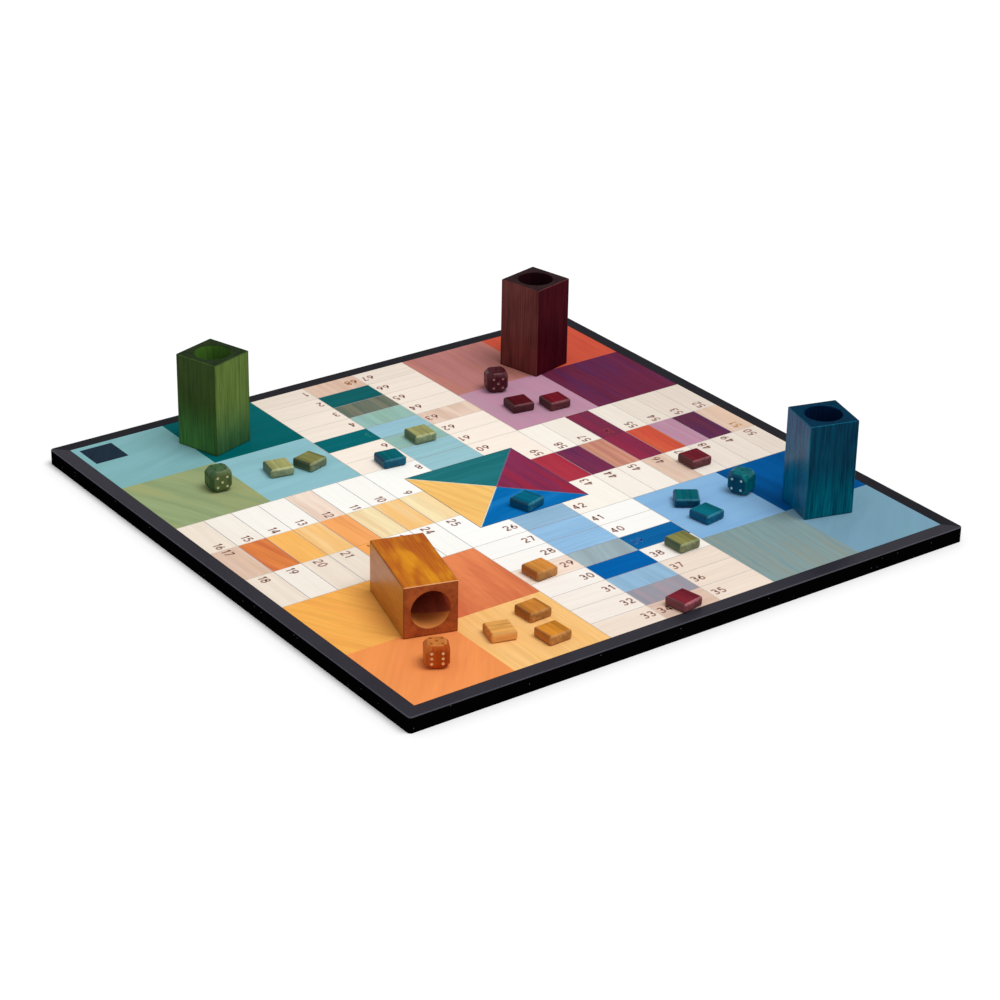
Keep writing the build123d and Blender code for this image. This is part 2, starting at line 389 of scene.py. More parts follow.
class PieceSizes(PropertyGroup):
    """Sizes of the edges and pips of the loose pieces."""

    cup_arris: distance("Cup Arris", "Radius of a cup's eased edges", 0.0006)
    cup_bore: distance("Cup Bore", "Diameter of a cup's bore", 0.0230)
    cup_floor: distance("Cup Floor", "Thickness of a cup's floor", 0.008)
    mouth_easing: distance("Mouth Easing", "Width of the bevel round the bore's mouth", 0.0004)
    die_arris: distance("Die Arris", "Radius of a die's edges", 0.0031)
    die_corner_radius: distance("Die Corner Radius", "Radius of the ball rounding a die's corners", 0.0092)
    pip_diameter: distance("Pip Diameter", "Width of a pip at the face of the die", 0.0017)
    pip_depth: distance("Pip Depth", "Depth of a pip's bowl", 0.00045)
    pip_offset: distance("Pip Offset", "From the middle of a face to its outer pips", 0.0031)
    counter_arris: distance("Counter Arris", "Radius of a counter's eased edges", 0.0015)


class VeneerDyes(PropertyGroup):
    """One colour for each dye of the veneers."""

    __annotations__ = {
        name: pigment(name.replace("_", " ").title(), "Dye of a veneer", dye) for name, dye in dyes.items()
    }


class FinishColours(PropertyGroup):
    """Colours of the lacquer, the ink, the joints and the stage."""

    lacquer: pigment("Lacquer", "Satin lacquer on the frame's top", screen(44, 42, 50))
    # A darker, duller copy of the lacquer for the back and right rails: painted shade.
    thin_lacquer: pigment("Thin Lacquer", "Duller lacquer on the back and right rails", screen(34, 34, 39))
    edge_paint: pigment("Edge Paint", "Black paint on the frame's sides", screen(3, 3, 4))
    # The arris lacquer is a lighter grey: a painted highlight along the frame's rounded arris.
    rubbed_arris: pigment("Rubbed Arris", "Lacquer where the frame's arris is rubbed", screen(74, 72, 80))
    ink: pigment("Ink", "Brown ink of the numbers", screen(168, 130, 120))
    blue_joint: pigment("Blue Joint", "Filler among the blue arm's pale cells", screen(190, 188, 186))
    red_joint: pigment("Red Joint", "Filler among the red arm's pale cells", screen(198, 190, 186))
    green_joint: pigment("Green Joint", "Filler among the green arm's pale cells", screen(208, 198, 188))
    yellow_joint: pigment("Yellow Joint", "Filler among the yellow arm's pale cells", screen(158, 162, 170))
    corridor_joint: pigment("Corridor Joint", "Filler between two corridor cells", screen(160, 150, 156))
    column_joint: pigment("Column Joint", "Filler beside a corridor", screen(214, 206, 200))
    home_joint: pigment("Home Joint", "Filler between a home and an arm", screen(190, 182, 168))
    centre_joint: pigment("Centre Joint", "Filler beside the yellow triangle", screen(235, 224, 190))
    mitre_joint: pigment("Mitre Joint", "Filler between the dark triangles", screen(112, 100, 128))
    border_joint: pigment("Border Joint", "Filler round the centre square", screen(70, 78, 100))
    floor: pigment("Floor", "The surface under the board", screen(255, 255, 255))


class Nodes:
    """Adds nodes to a tree and joins their sockets."""

    def __init__(self, tree):
        self.tree = tree

    def add(self, kind, inputs=None, **settings):
        item = self.tree.nodes.new(kind)
        for key, value in settings.items():
            setattr(item, key, value)
        for key, value in (inputs or {}).items():
            self.feed(item.inputs[key], value)
        return item

    def made(self, kind, inputs=None, **settings):
        """The first output of a new node."""
        return self.add(kind, inputs, **settings).outputs[0]

    def form(self, kind, inputs=None, **settings):
        """The first output of a new geometry node."""
        return self.made("GeometryNode" + kind, inputs, **settings)

    def group(self, make, inputs):
        """The outputs of a node group that is placed here with its own values."""
        kind = self.tree.bl_idname.replace("Tree", "Group")
        return self.add(kind, inputs, node_tree=make()).outputs

    def feed(self, socket, value):
        if isinstance(value, bpy.types.NodeSocket):
            self.tree.links.new(value, socket)
        else:
            socket.default_value = value

    def parts(self, vector):
        return self.add("ShaderNodeSeparateXYZ", {0: vector}).outputs

    def joined(self, x=0.0, y=0.0, z=0.0):
        return self.made("ShaderNodeCombineXYZ", {0: x, 1: y, 2: z})

    def math(self, operation, a, b=0.0, c=0.0, clamp=False):
        return self.made("ShaderNodeMath", {0: a, 1: b, 2: c}, operation=operation, use_clamp=clamp)

    def plus(self, a, b):
        return self.math("ADD", a, b)

    def minus(self, a, b, clamp=False):
        return self.math("SUBTRACT", a, b, clamp=clamp)

    def times(self, a, b):
        return self.math("MULTIPLY", a, b)

    def times_plus(self, a, b, c, clamp=False):
        return self.math("MULTIPLY_ADD", a, b, c, clamp)

    def vector(self, operation, a, b=(0, 0, 0), scale=1.0):
        return self.made("ShaderNodeVectorMath", {0: a, 1: b, 3: scale}, operation=operation)

    def in_millimetres(self, place):
        return self.vector("MULTIPLY", place, (1000.0, 1000.0, 1000.0))

    def ramp(self, value, low, high, to_low=0.0, to_high=1.0):
        inputs = {0: value, 1: low, 2: high, 3: to_low, 4: to_high}
        return self.made("ShaderNodeMapRange", inputs, interpolation_type="SMOOTHSTEP")

    def mix(self, factor, a, b, blend="MIX"):
        item = self.add("ShaderNodeMix", {0: factor, 6: a, 7: b}, data_type="RGBA", blend_type=blend)
        return item.outputs[2]

    def noise(self, place, scale, detail=2.0, roughness=0.5, seed=0.0):
        inputs = {"Vector": place, "W": seed, "Scale": scale, "Detail": detail, "Roughness": roughness}
        return self.made("ShaderNodeTexNoise", inputs, noise_dimensions="4D")

    def stretched(self, place, across, seed=0.0, detail=2.0):
        """Noise drawn out by its scales along X, Y and Z."""
        return self.noise(self.vector("MULTIPLY", place, across), 1.0, detail, 0.55, seed)


SHADER_TREE = "ShaderNodeTree"
GEOMETRY_TREE = "GeometryNodeTree"
FLOAT = "NodeSocketFloat"
VECTOR = "NodeSocketVector"
COLOUR = "NodeSocketColor"
GEOMETRY = "NodeSocketGeometry"
MATERIAL = "NodeSocketMaterial"


def node_group(kind, inputs, outputs):
    """Turns a function that fills a tree into one that gives its node group, which is
    made on first use. A socket is given as its type or as the number that is its default."""
    def wrap(fill):
        def group():
            if fill.__name__ in bpy.data.node_groups:
                return bpy.data.node_groups[fill.__name__]
            tree = bpy.data.node_groups.new(fill.__name__, kind)
            add_sockets(tree, "INPUT", inputs)
            add_sockets(tree, "OUTPUT", outputs)
            n = Nodes(tree)
            fill(n, n.add("NodeGroupInput").outputs, n.add("NodeGroupOutput").inputs)
            return tree
        return group
    return wrap


def add_sockets(tree, in_out, sockets):
    for label, value in sockets.items():
        is_number = isinstance(value, float)
        socket_type = FLOAT if is_number else value
        socket = tree.interface.new_socket(label, in_out=in_out, socket_type=socket_type)
        if is_number:
            socket.default_value = value


@node_group(
    SHADER_TREE,
    {"Place": VECTOR, "Light": COLOUR, "Dark": COLOUR, "Tint": COLOUR, "Arch": 0.05, "Rings": 0.0,
     "Streaks": 0.25, "Streak Width": 4.0, "Fibres": 0.2, "Clouds": 0.3, "Seed": 0.0},
    {"Color": COLOUR, "Height": FLOAT})
def sliced_veneer(n, given, out):
    """Shader group for a sheet of dyed veneer, sliced flat with its grain along X."""
    wandering = 7.0
    heart_depth = 16.0
    ring_spacing = 3.4
    place = n.in_millimetres(given["Place"])
    parts = n.parts(place)
    wander = n.minus(n.stretched(place, (0.025, 0.03, 0.03), given["Seed"], 2.0), 0.5)
    across = n.times_plus(wander, wandering, parts["Y"])
    depth = n.times_plus(parts["X"], given["Arch"], heart_depth)
    radius = n.math("SQRT", n.plus(n.times(across, across), n.times(depth, depth)))
    phase = n.plus(n.times(radius, 2 * pi / ring_spacing), n.times(given["Seed"], 1.7))
    wave = n.times_plus(n.math("SINE", phase), 0.5, 0.5)
    late_wood = n.math("POWER", wave, 2.5)
    along = n.times(parts["X"], 0.012)
    lanes = n.joined(along, n.math("DIVIDE", across, given["Streak Width"]))
    streaks = n.ramp(n.noise(lanes, 1.0, 3.0, 0.55, given["Seed"]), 0.36, 0.66)
    coarse = n.ramp(n.stretched(place, (0.03, 0.8, 0.1), given["Seed"], 2.0), 0.38, 0.68)
    fine = n.ramp(n.stretched(place, (0.06, 2.6, 0.1), given["Seed"], 2.0), 0.38, 0.70)
    fibres = n.times_plus(coarse, 0.6, n.times(fine, 0.4))
    tone = n.times(late_wood, given["Rings"])
    tone = n.times_plus(streaks, given["Streaks"], tone)
    tone = n.times_plus(fibres, given["Fibres"], tone, clamp=True)
    width_of_clouds = n.times_plus(given["Streak Width"], 1.2, 3.0)
    drift = n.joined(along, n.math("DIVIDE", across, width_of_clouds), 7.0)
    clouds = n.ramp(n.noise(drift, 1.0, 2.0, 0.5, given["Seed"]), 0.42, 0.66)
    dyed = n.mix(tone, given["Light"], given["Dark"])
    n.feed(out["Color"], n.mix(n.times(clouds, given["Clouds"]), dyed, given["Tint"]))
    n.feed(out["Height"], n.times_plus(fibres, 0.5, n.times(late_wood, 0.5)))


@node_group(
    SHADER_TREE,
    {"Place": VECTOR, "Field Half": field_half, "Row Pitch": row_pitch, "Arm": 0.0,
     "Tan Row": no_tan_row},
    {"Nearness": FLOAT, "Seed": FLOAT, "Chance": FLOAT, "Tan": FLOAT})
def column_cells(n, given, out):
    """Shader group that tells the pale cells of an arm apart by row and side."""
    parts = n.parts(given["Place"])
    along = n.math("DIVIDE", n.plus(parts["Y"], given["Field Half"]), given["Row Pitch"])
    row = n.math("MINIMUM", n.math("FLOOR", along), rows_per_arm - 1.0)
    side = n.math("GREATER_THAN", parts["X"], 0.0)
    cell = n.joined(row, side, given["Arm"])
    chance = n.made("ShaderNodeTexWhiteNoise", {"Vector": cell}, noise_dimensions="3D")
    from_tan = n.math("ABSOLUTE", n.minus(n.plus(row, 1.0), given["Tan Row"]))
    n.feed(out["Nearness"], n.math("DIVIDE", row, rows_per_arm - 1.0))
    n.feed(out["Seed"], n.times(chance, 40.0))
    n.feed(out["Chance"], chance)
    n.feed(out["Tan"], n.times(n.minus(1.0, from_tan, clamp=True), side))


@node_group(
    SHADER_TREE,
    {"Place": VECTOR, "Light": COLOUR, "Dark": COLOUR, "Head": COLOUR, "Foot": COLOUR,
     "Half Length": 0.03, "Blotches": 0.3, "Streaks": 0.5, "Pores": 0.4, "Seed": 0.0},
    {"Color": COLOUR, "Height": FLOAT})
def stained_wood(n, given, out):
    """Shader group for a solid stained block, with its grain along Z."""
    place = n.in_millimetres(given["Place"])
    blotches = n.ramp(n.stretched(place, (0.10, 0.10, 0.035), given["Seed"], 2.0), 0.38, 0.64)
    streaks = n.ramp(n.stretched(place, (0.32, 0.32, 0.012), given["Seed"], 3.0), 0.38, 0.64)
    fibres = n.ramp(n.stretched(place, (1.1, 1.1, 0.03), given["Seed"], 2.0), 0.38, 0.66)
    pores = n.ramp(n.stretched(place, (2.8, 2.8, 0.09), given["Seed"], 2.0), 0.50, 0.72)
    height = n.parts(given["Place"])["Z"]
    short_of_end = n.minus(given["Half Length"], n.math("ABSOLUTE", height))
    end_grain = n.ramp(short_of_end, 0.0001, 0.0004, 1.0, 0.0)
    lines = n.times_plus(fibres, 0.7, n.times(pores, 0.5))
    tone = n.times(blotches, given["Blotches"])
    tone = n.times_plus(streaks, given["Streaks"], tone)
    tone = n.times_plus(lines, given["Pores"], tone)
    tone = n.times_plus(end_grain, 0.2, tone, clamp=True)
    half = given["Half Length"]
    raised = n.ramp(height, n.times(half, -1.0), n.times(half, 0.2))
    fade = n.mix(raised, given["Foot"], given["Head"])
    stained = n.mix(tone, given["Light"], given["Dark"])
    n.feed(out["Color"], n.mix(1.0, stained, fade, "MULTIPLY"))
    n.feed(out["Height"], n.minus(1.0, n.times_plus(streaks, 0.4, pores)))


@node_group(
    SHADER_TREE,
    {"Place": VECTOR, "Half Size": VECTOR, "Width": 0.0006, "Breaks": 0.5, "Seed": 0.0}, {"Wear": FLOAT})
def edge_wear(n, given, out):
    """Shader group that finds the arrises of a block, seen from its middle, in broken patches; the stains
    darken them.
    """
    inside = n.vector("SUBTRACT", given["Half Size"], n.vector("ABSOLUTE", given["Place"]))
    a, b, c = n.parts(inside)[:3]
    nearer = n.math("MINIMUM", a, b)
    further = n.math("MAXIMUM", a, b)
    second = n.math("MAXIMUM", nearer, n.math("MINIMUM", further, c))
    edge = n.minus(1.0, n.math("DIVIDE", second, given["Width"]), clamp=True)
    patches = n.noise(n.in_millimetres(given["Place"]), 0.6, 3.0, 0.6, given["Seed"])
    kept = n.ramp(patches, 0.35, 0.62)
    whole = n.minus(1.0, given["Breaks"])
    n.feed(out["Wear"], n.times(edge, n.times_plus(kept, given["Breaks"], whole)))


@node_group(
    SHADER_TREE,
    {"Place": VECTOR, "Spacing": 0.004, "Speck": 0.08}, {"Dust": FLOAT})
def settled_dust(n, given, out):
    """Shader group for stray specks of pale dust."""
    scaled = n.vector("SCALE", given["Place"], scale=n.math("DIVIDE", 1.0, given["Spacing"]))
    cells = n.add("ShaderNodeTexVoronoi", {"Vector": scaled, "Scale": 1.0}, voronoi_dimensions="3D")
    close = n.math("LESS_THAN", cells.outputs["Distance"], given["Speck"])
    shade = n.parts(cells.outputs["Color"])["X"]
    n.feed(out["Dust"], n.times(close, n.math("GREATER_THAN", shade, 0.55)))


def new_material(name, slot_colour):
    """An empty node material, with its Principled shader."""
    material = bpy.data.materials.new(name)
    material.use_nodes = True
    material.diffuse_color = (*slot_colour, 1.0)
    return material, Nodes(material.node_tree), material.node_tree.nodes["Principled BSDF"]


def object_place(n, middle=(0, 0, 0), turn=0.0):
    """Object coordinates centred on a piece, with its grain turned onto X."""
    source = n.add("ShaderNodeTexCoord").outputs["Object"]
    inputs = {"Vector": source, "Location": middle, "Rotation": (0, 0, radians(turn))}
    return n.made("ShaderNodeMapping", inputs, vector_type="TEXTURE")


def coated(n, shader, colour, roughness, specular, bump=None):
    """Feeds a shader its colour and roughness, sets its gloss, and bumps it by a
    height with a strength and a distance."""
    n.feed(shader.inputs["Base Color"], colour)
    n.feed(shader.inputs["Roughness"], roughness)
    shader.inputs["Specular IOR Level"].default_value = specular
    if bump:
        height, strength, distance = bump
        inputs = {"Strength": strength, "Distance": distance, "Height": height}
        n.feed(shader.inputs["Normal"], n.made("ShaderNodeBump", inputs))


def lighter(dye, share):
    return (*[min(1.0, channel * share) for channel in dye], 1.0)


def darker(dye, share):
    """A deeper tone of a dye: the weaker its channel, the more it loses."""
    return (*[channel * share * (0.82 + 0.18 * channel) for channel in dye], 1.0)


def dye_named(name):
    return tuple(getattr(bpy.context.scene.veneer_dyes, name))


def lacquered_veneer(n, shader, place, seed, light, dark, tint, figure):
    """A sheet of veneer in the thin satin lacquer that all veneers share."""
    tones = {"Light": light, "Dark": dark, "Tint": tint}
    veneer = n.group(sliced_veneer, {"Place": place, "Seed": seed, **tones, **figure})
    height = veneer["Height"]
    roughness = n.ramp(height, 0.0, 1.0, 0.50, 0.42)
    coated(n, shader, veneer["Color"], roughness, 0.003, (height, 0.12, 0.00005))


def veneer_material(name, veneer_look, middle, seed, quarter=0):
    """A dyed veneer, its figure centred on its own piece and picked by the seed."""
    dye_name, tint, turn, figure = veneer_look
    dye = dye_named(dye_name)
    material, n, shader = new_material(name, dye)
    place = object_place(n, middle, turn + quarter)
    lacquered_veneer(
        n, shader, place, seed, lighter(dye, 1.08), darker(dye, 0.72), lighter(dye_named(tint), 1.0), figure)
    return material


def maple_material(colour):
    """The pale cells of one arm: each its own cut, whiter towards the centre as painted light."""
    edge = dye_named(colour + "_maple_edge")
    middle = dye_named(colour + "_maple_centre")
    material, n, shader = new_material(colour + "_arm_maple", middle)
    arm = colours.index(colour)
    place = object_place(n, (0, 0, 0), 90 * arm)
    tan_row = tan_rows.get(colour, no_tan_row)
    cells = n.group(column_cells, {"Place": place, "Arm": float(arm), "Tan Row": tan_row})
    chance = n.minus(cells["Chance"], 0.5)
    # Painted light: the cells whiten towards the centre as under a pool of light over the middle.
    fade = n.math("POWER", cells["Nearness"], maple_fades[colour])
    nearness = n.times_plus(chance, 0.25, fade)
    # Darker rows: in the yellow arm, a painted shadow of the lying yellow cup.
    nearness = n.times_plus(cells["Tan"], -2.0, nearness, clamp=True)
    light = n.mix(nearness, lighter(edge, 1.03), lighter(middle, 1.02))
    dark = n.mix(nearness, darker(edge, 0.84), darker(middle, 0.93))
    tint = n.mix(nearness, darker(edge, 0.94), lighter(middle, 1.0))
    lacquered_veneer(n, shader, place, cells["Seed"], light, dark, tint, maple_figure)
    return material


def lacquer_material(name, colour, roughness, specular, dust_share):
    """Black lacquer with a faint orange peel and a few specks of dust."""
    material, n, shader = new_material(name, colour)
    place = object_place(n)
    fine_place = n.in_millimetres(place)
    peel = n.noise(fine_place, 1.4, 2.0)
    cloud = n.ramp(n.noise(fine_place, 0.05, 3.0), 0.3, 0.7)
    specks = n.times(n.group(settled_dust, {"Place": place})["Dust"], dust_share)
    mottled = n.times_plus(n.ramp(peel, 0.3, 0.7), 0.6, n.times(cloud, 0.4))
    tone = n.mix(mottled, lighter(colour, 0.8), lighter(colour, 1.25))
    dull = n.ramp(cloud, 0.0, 1.0, roughness - 0.03, roughness + 0.03)
    coated(n, shader, n.mix(specks, tone, dust_grey), dull, specular, (peel, 0.08, 0.00005))
    return material


def plain_finish(name, colour, variation, roughness, specular=0.02):
    """A thin flat finish, such as ink, paint or filler, with a slight mottle."""
    material, n, shader = new_material(name, colour)
    mottle = n.noise(n.in_millimetres(object_place(n)), 0.9, 3.0)
    mottled = n.ramp(mottle, 0.3, 0.7)
    tone = n.mix(mottled, lighter(colour, 1.0 - variation), lighter(colour, 1.0 + variation))
    coated(n, shader, tone, roughness, specular)
    return material


def pouring_wear(n, place, half_length):
    """A mask of painted light in a lying cup's bore: a wedge from the mouth, deepest on its lowest side,
    which is -Y, where the key light would fall in.
    """
    parts = n.parts(place)
    depth = n.minus(half_length, parts["Z"])
    above = n.times_plus(depth, 0.6, parts["Y"])
    above = n.times_plus(parts["X"], 0.2, above)
    return n.ramp(above, -0.0012, 0.0006, 0.85, 0.0)


def stained_material(
        name, stains, half_size, figure, edge_share, roughness, specular, fade=even_fade, rubbed=None):
    """Stained hardwood under lacquer, on coordinates that stay with the piece.

    The figure is the share of its blotches, streaks and pores, and the last
    argument is the colour of painted light in a lying cup's bore: a lit wedge on
    its lowest wall at the mouth."""
    light, dark = stains
    head, foot = fade
    material, n, shader = new_material(name, light)
    place = n.add("ShaderNodeAttribute", attribute_name="piece_place").outputs["Vector"]
    seed = n.add("ShaderNodeAttribute", attribute_name="piece_seed").outputs["Fac"]
    tones = {"Light": light, "Dark": dark, "Head": head, "Foot": foot}
    wood = n.group(stained_wood, {
        "Place": place, "Seed": seed, "Half Length": half_size[2],
        **{label: (*tone, 1.0) for label, tone in tones.items()},
        **dict(zip(("Blotches", "Streaks", "Pores"), figure))})
    rim = n.group(edge_wear, {
        "Place": place, "Seed": seed, "Half Size": half_size, "Width": 0.0012, "Breaks": 0.4})
    # The arrises darken towards a deep tone of the stain.
    share = n.times(rim["Wear"], edge_share)
    tone = n.mix(share, wood["Color"], lighter(dark, 0.45))
    # Painted light in the bore of a lying cup, near its mouth.
    if rubbed:
        tone = n.mix(pouring_wear(n, place, half_size[2]), tone, (*rubbed, 1.0))
    height = wood["Height"]
    dull = n.ramp(height, 0.0, 1.0, roughness + 0.10, roughness)
    coated(n, shader, tone, dull, specular, (height, 0.2, 0.00006))
    return material


def socket_identifier(tree, label):
    """The identifier of a tree's input, by which a modifier sets it."""
    for item in tree.interface.items_tree:
        if item.item_type == "SOCKET" and item.in_out == "INPUT" and item.name == label:
            return item.identifier
    raise RuntimeError("no input named " + label)


def made_by(make, values, source=None):
    """The mesh that a node tree makes from a source mesh, with nothing left live."""
    tree = make()
    holder = bpy.data.objects.new("holder", source or bpy.data.meshes.new("holder"))
    bpy.context.scene.collection.objects.link(holder)
    modifier = holder.modifiers.new("form", "NODES")
    modifier.node_group = tree
    for label, value in values.items():
        modifier[socket_identifier(tree, label)] = value
    depsgraph = bpy.context.evaluated_depsgraph_get()
    mesh = bpy.data.meshes.new_from_object(holder.evaluated_get(depsgraph), depsgraph=depsgraph)
    bpy.data.objects.remove(holder)
    return mesh


def new_piece(name, mesh, body):
    """An object at the origin that rides on a body."""
    piece = bpy.data.objects.new(name, mesh)
    bpy.context.scene.collection.objects.link(piece)
    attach(piece, body)
    return piece


# Two faces that meet at more than this are parted by a sharp edge
sharp_angle = radians(50)


def set_down(mesh, place, seed):
    """Keep each vertex's place in the piece, then move the mesh to its place."""
    kept = mesh.attributes.new("piece_place", "FLOAT_VECTOR", "POINT")
    coordinates = [0.0] * (3 * len(mesh.vertices))
    mesh.vertices.foreach_get("co", coordinates)
    kept.data.foreach_set("vector", coordinates)
    seeds = mesh.attributes.new("piece_seed", "FLOAT", "POINT")
    seeds.data.foreach_set("value", [seed] * len(mesh.vertices))
    mesh.transform(place)
    mesh.shade_smooth()
    mesh.set_sharp_from_angle(angle=sharp_angle)


def node_middle(node):
    low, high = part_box(node)
    return (low + high) / 2


def node_size(node):
    low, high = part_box(node)
    return high - low


def arm_turn(colour):
    """The quarter turn from the blue arm to another colour's."""
    return Matrix.Rotation(radians(90 * colours.index(colour)), 4, "Z")


def finished(n, out, geometry, finish):
    """Ends a tree: its instances made real and its finish laid on."""
    whole = n.form("RealizeInstances", {0: geometry})
    n.feed(out["Geometry"], n.form("SetMaterial", {"Geometry": whole, "Material": finish}))


def cut(n, body, tool):
    """One solid less another."""
    return n.form("MeshBoolean", {0: body, 1: tool}, operation="DIFFERENCE", solver="EXACT")


def block_inside(n, given):
    """The eased block that another tree starts from."""
    return n.group(eased_block, {label: given[label] for label in ("Size", "Arris", "Finish")})[0]


@node_group(
    GEOMETRY_TREE,
    {"Size": VECTOR, "Arris": 0.001, "Finish": MATERIAL}, {"Geometry": GEOMETRY})
def eased_block(n, given, out):
    """Node tree: a block round the origin with rounded arrises and corners."""
    steps = 4
    count = 2 * steps + 2
    inner = 1 / (count - 1)
    cube = n.form("MeshCube", {
        "Size": (2, 2, 2), "Vertices X": count, "Vertices Y": count, "Vertices Z": count})
    place = n.form("InputPosition")
    beyond = n.vector("SUBTRACT", n.vector("ABSOLUTE", place), (inner, inner, inner))
    share = n.vector("MAXIMUM", n.vector("SCALE", beyond, scale=1 / (1 - inner)), (0, 0, 0))
    arris = n.joined(given["Arris"], given["Arris"], given["Arris"])
    core = n.vector("SUBTRACT", n.vector("SCALE", given["Size"], scale=0.5), arris)
    outward = n.vector("SCALE", n.vector("NORMALIZE", share), scale=given["Arris"])
    moved = n.vector("MULTIPLY", n.vector("SIGN", place), n.vector("ADD", core, outward))
    eased = n.form("SetPosition", {"Geometry": cube, "Position": moved})
    finished(n, out, eased, given["Finish"])


@node_group(
    GEOMETRY_TREE,
    {"Size": VECTOR, "Arris": 0.001, "Bore": 0.024, "Floor": 0.008, "Mouth Easing": 0.0004,
     "Finish": MATERIAL},
    {"Geometry": GEOMETRY})
def bored_cup(n, given, out):
    """Node tree: a block bored from its +Z end, with an eased mouth."""
    facets = 96
    overshoot = 0.002
    height = n.parts(given["Size"])["Z"]
    top = n.times(height, 0.5)
    radius = n.times(given["Bore"], 0.5)
    depth = n.plus(n.minus(height, given["Floor"]), overshoot)
    bore = n.form("MeshCylinder", {"Vertices": facets, "Radius": radius, "Depth": depth})
    bore_lift = n.minus(n.plus(top, overshoot), n.times(depth, 0.5))
    easing = given["Mouth Easing"]
    wide = n.times_plus(easing, 2.0, radius)
    bevel = n.form("MeshCone", {
        "Vertices": facets, "Radius Top": wide, "Radius Bottom": radius,
        "Depth": n.times(easing, 2.0)})
    body = block_inside(n, given)
    for tool, lift in ((bore, bore_lift), (bevel, n.minus(top, easing))):
        lifted = n.form("Transform", {"Geometry": tool, "Translation": n.joined(z=lift)})
        body = cut(n, body, lifted)
    finished(n, out, body, given["Finish"])


@node_group(
    GEOMETRY_TREE,
    {"Pip Points": GEOMETRY, "Size": VECTOR, "Arris": 0.003, "Corner Radius": 0.0092,
     "Ball Radius": 0.001, "Finish": MATERIAL, "Paint": MATERIAL},
    {"Geometry": GEOMETRY})
def drilled_die(n, given, out):
    """Node tree: an eased cube turned round at its corners, with a pip cut at each point."""
    ball = n.form("MeshUVSphere", {"Segments": 96, "Rings": 48, "Radius": given["Corner Radius"]})
    ball = n.form("SetMaterial", {"Geometry": ball, "Material": given["Finish"]})
    rounded = n.add("GeometryNodeMeshBoolean", operation="INTERSECT", solver="EXACT")
    n.feed(rounded.inputs[1], block_inside(n, given))
    n.feed(rounded.inputs[1], ball)
    pip = n.form("MeshUVSphere", {"Segments": 24, "Rings": 16, "Radius": given["Ball Radius"]})
    pips = n.form("InstanceOnPoints", {"Points": given["Pip Points"], "Instance": pip})
    pips = n.form("RealizeInstances", {0: pips})
    painted = n.form("SetMaterial", {"Geometry": pips, "Material": given["Paint"]})
    drilled = cut(n, rounded.outputs[0], painted)
    n.feed(out["Geometry"], n.form("RealizeInstances", {0: drilled}))


@node_group(
    GEOMETRY_TREE,
    {"Lines": GEOMETRY, "Width": 0.001, "Thickness": 0.0001, "Finish": MATERIAL}, {"Geometry": GEOMETRY})
def drawn_strokes(n, given, out):
    """Node tree: a thin flat bar along each line of a mesh of edges."""
    curve = n.form("MeshToCurve", {"Mesh": given["Lines"]})
    level = n.form("SetCurveNormal", {"Curve": curve}, mode="Z_UP")
    profile = n.form("CurvePrimitiveQuadrilateral", {
        "Width": given["Width"], "Height": given["Thickness"]})
    bars = n.form("CurveToMesh", {"Curve": level, "Profile Curve": profile, "Fill Caps": True})
    finished(n, out, bars, given["Finish"])


def line_mesh(name, lines, height):
    """A mesh of edges along lists of points; a list that ends where it starts is closed."""
    points = []
    edges = []
    for line in lines:
        closed = line[0] == line[-1]
        first = len(points)
        kept = line[:-1] if closed else line
        points += [(x, y, height) for x, y in kept]
        edges += [(first + i, first + i + 1) for i in range(len(kept) - 1)]
        if closed:
            edges.append((first + len(kept) - 1, first))
    mesh = bpy.data.meshes.new(name)
    mesh.from_pydata(points, edges, [])
    return mesh


def stroke_piece(name, lines, height, width, thickness, finish):
    """Bars along lines on the board, as one piece."""
    values = {"Width": width, "Thickness": thickness, "Finish": finish}
    mesh = made_by(drawn_strokes, values, line_mesh(name + "_lines", lines, height))
    return new_piece(name, mesh, "board")


def turned(lines, *arms):
    """Lines of the blue arm, turned to each of the arms named."""
    result = []
    for arm in arms:
        turn = arm_turn(arm)
        for line in lines:
            points = [turn @ Vector((x, y, 0)) for x, y in line]
            result.append([(p.x, p.y) for p in points])
    return result


def arc(x, y, radius, start, end, height=None, steps=16):
    """Points round a centre from one angle to another, in degrees."""
    rise = radius if height is None else height
    points = []
    for i in range(steps + 1):
        turn = radians(start + (end - start) * i / steps)
        points.append((x + radius * cos(turn), y + rise * sin(turn)))
    return points


def closed_arc(x, y, radius, height=None):
    points = arc(x, y, radius, 0, 360, height, 28)
    return points[:-1] + [points[0]]


def half_turned(strokes, width):
    return [[(width - x, 1 - y) for x, y in stroke] for stroke in strokes]


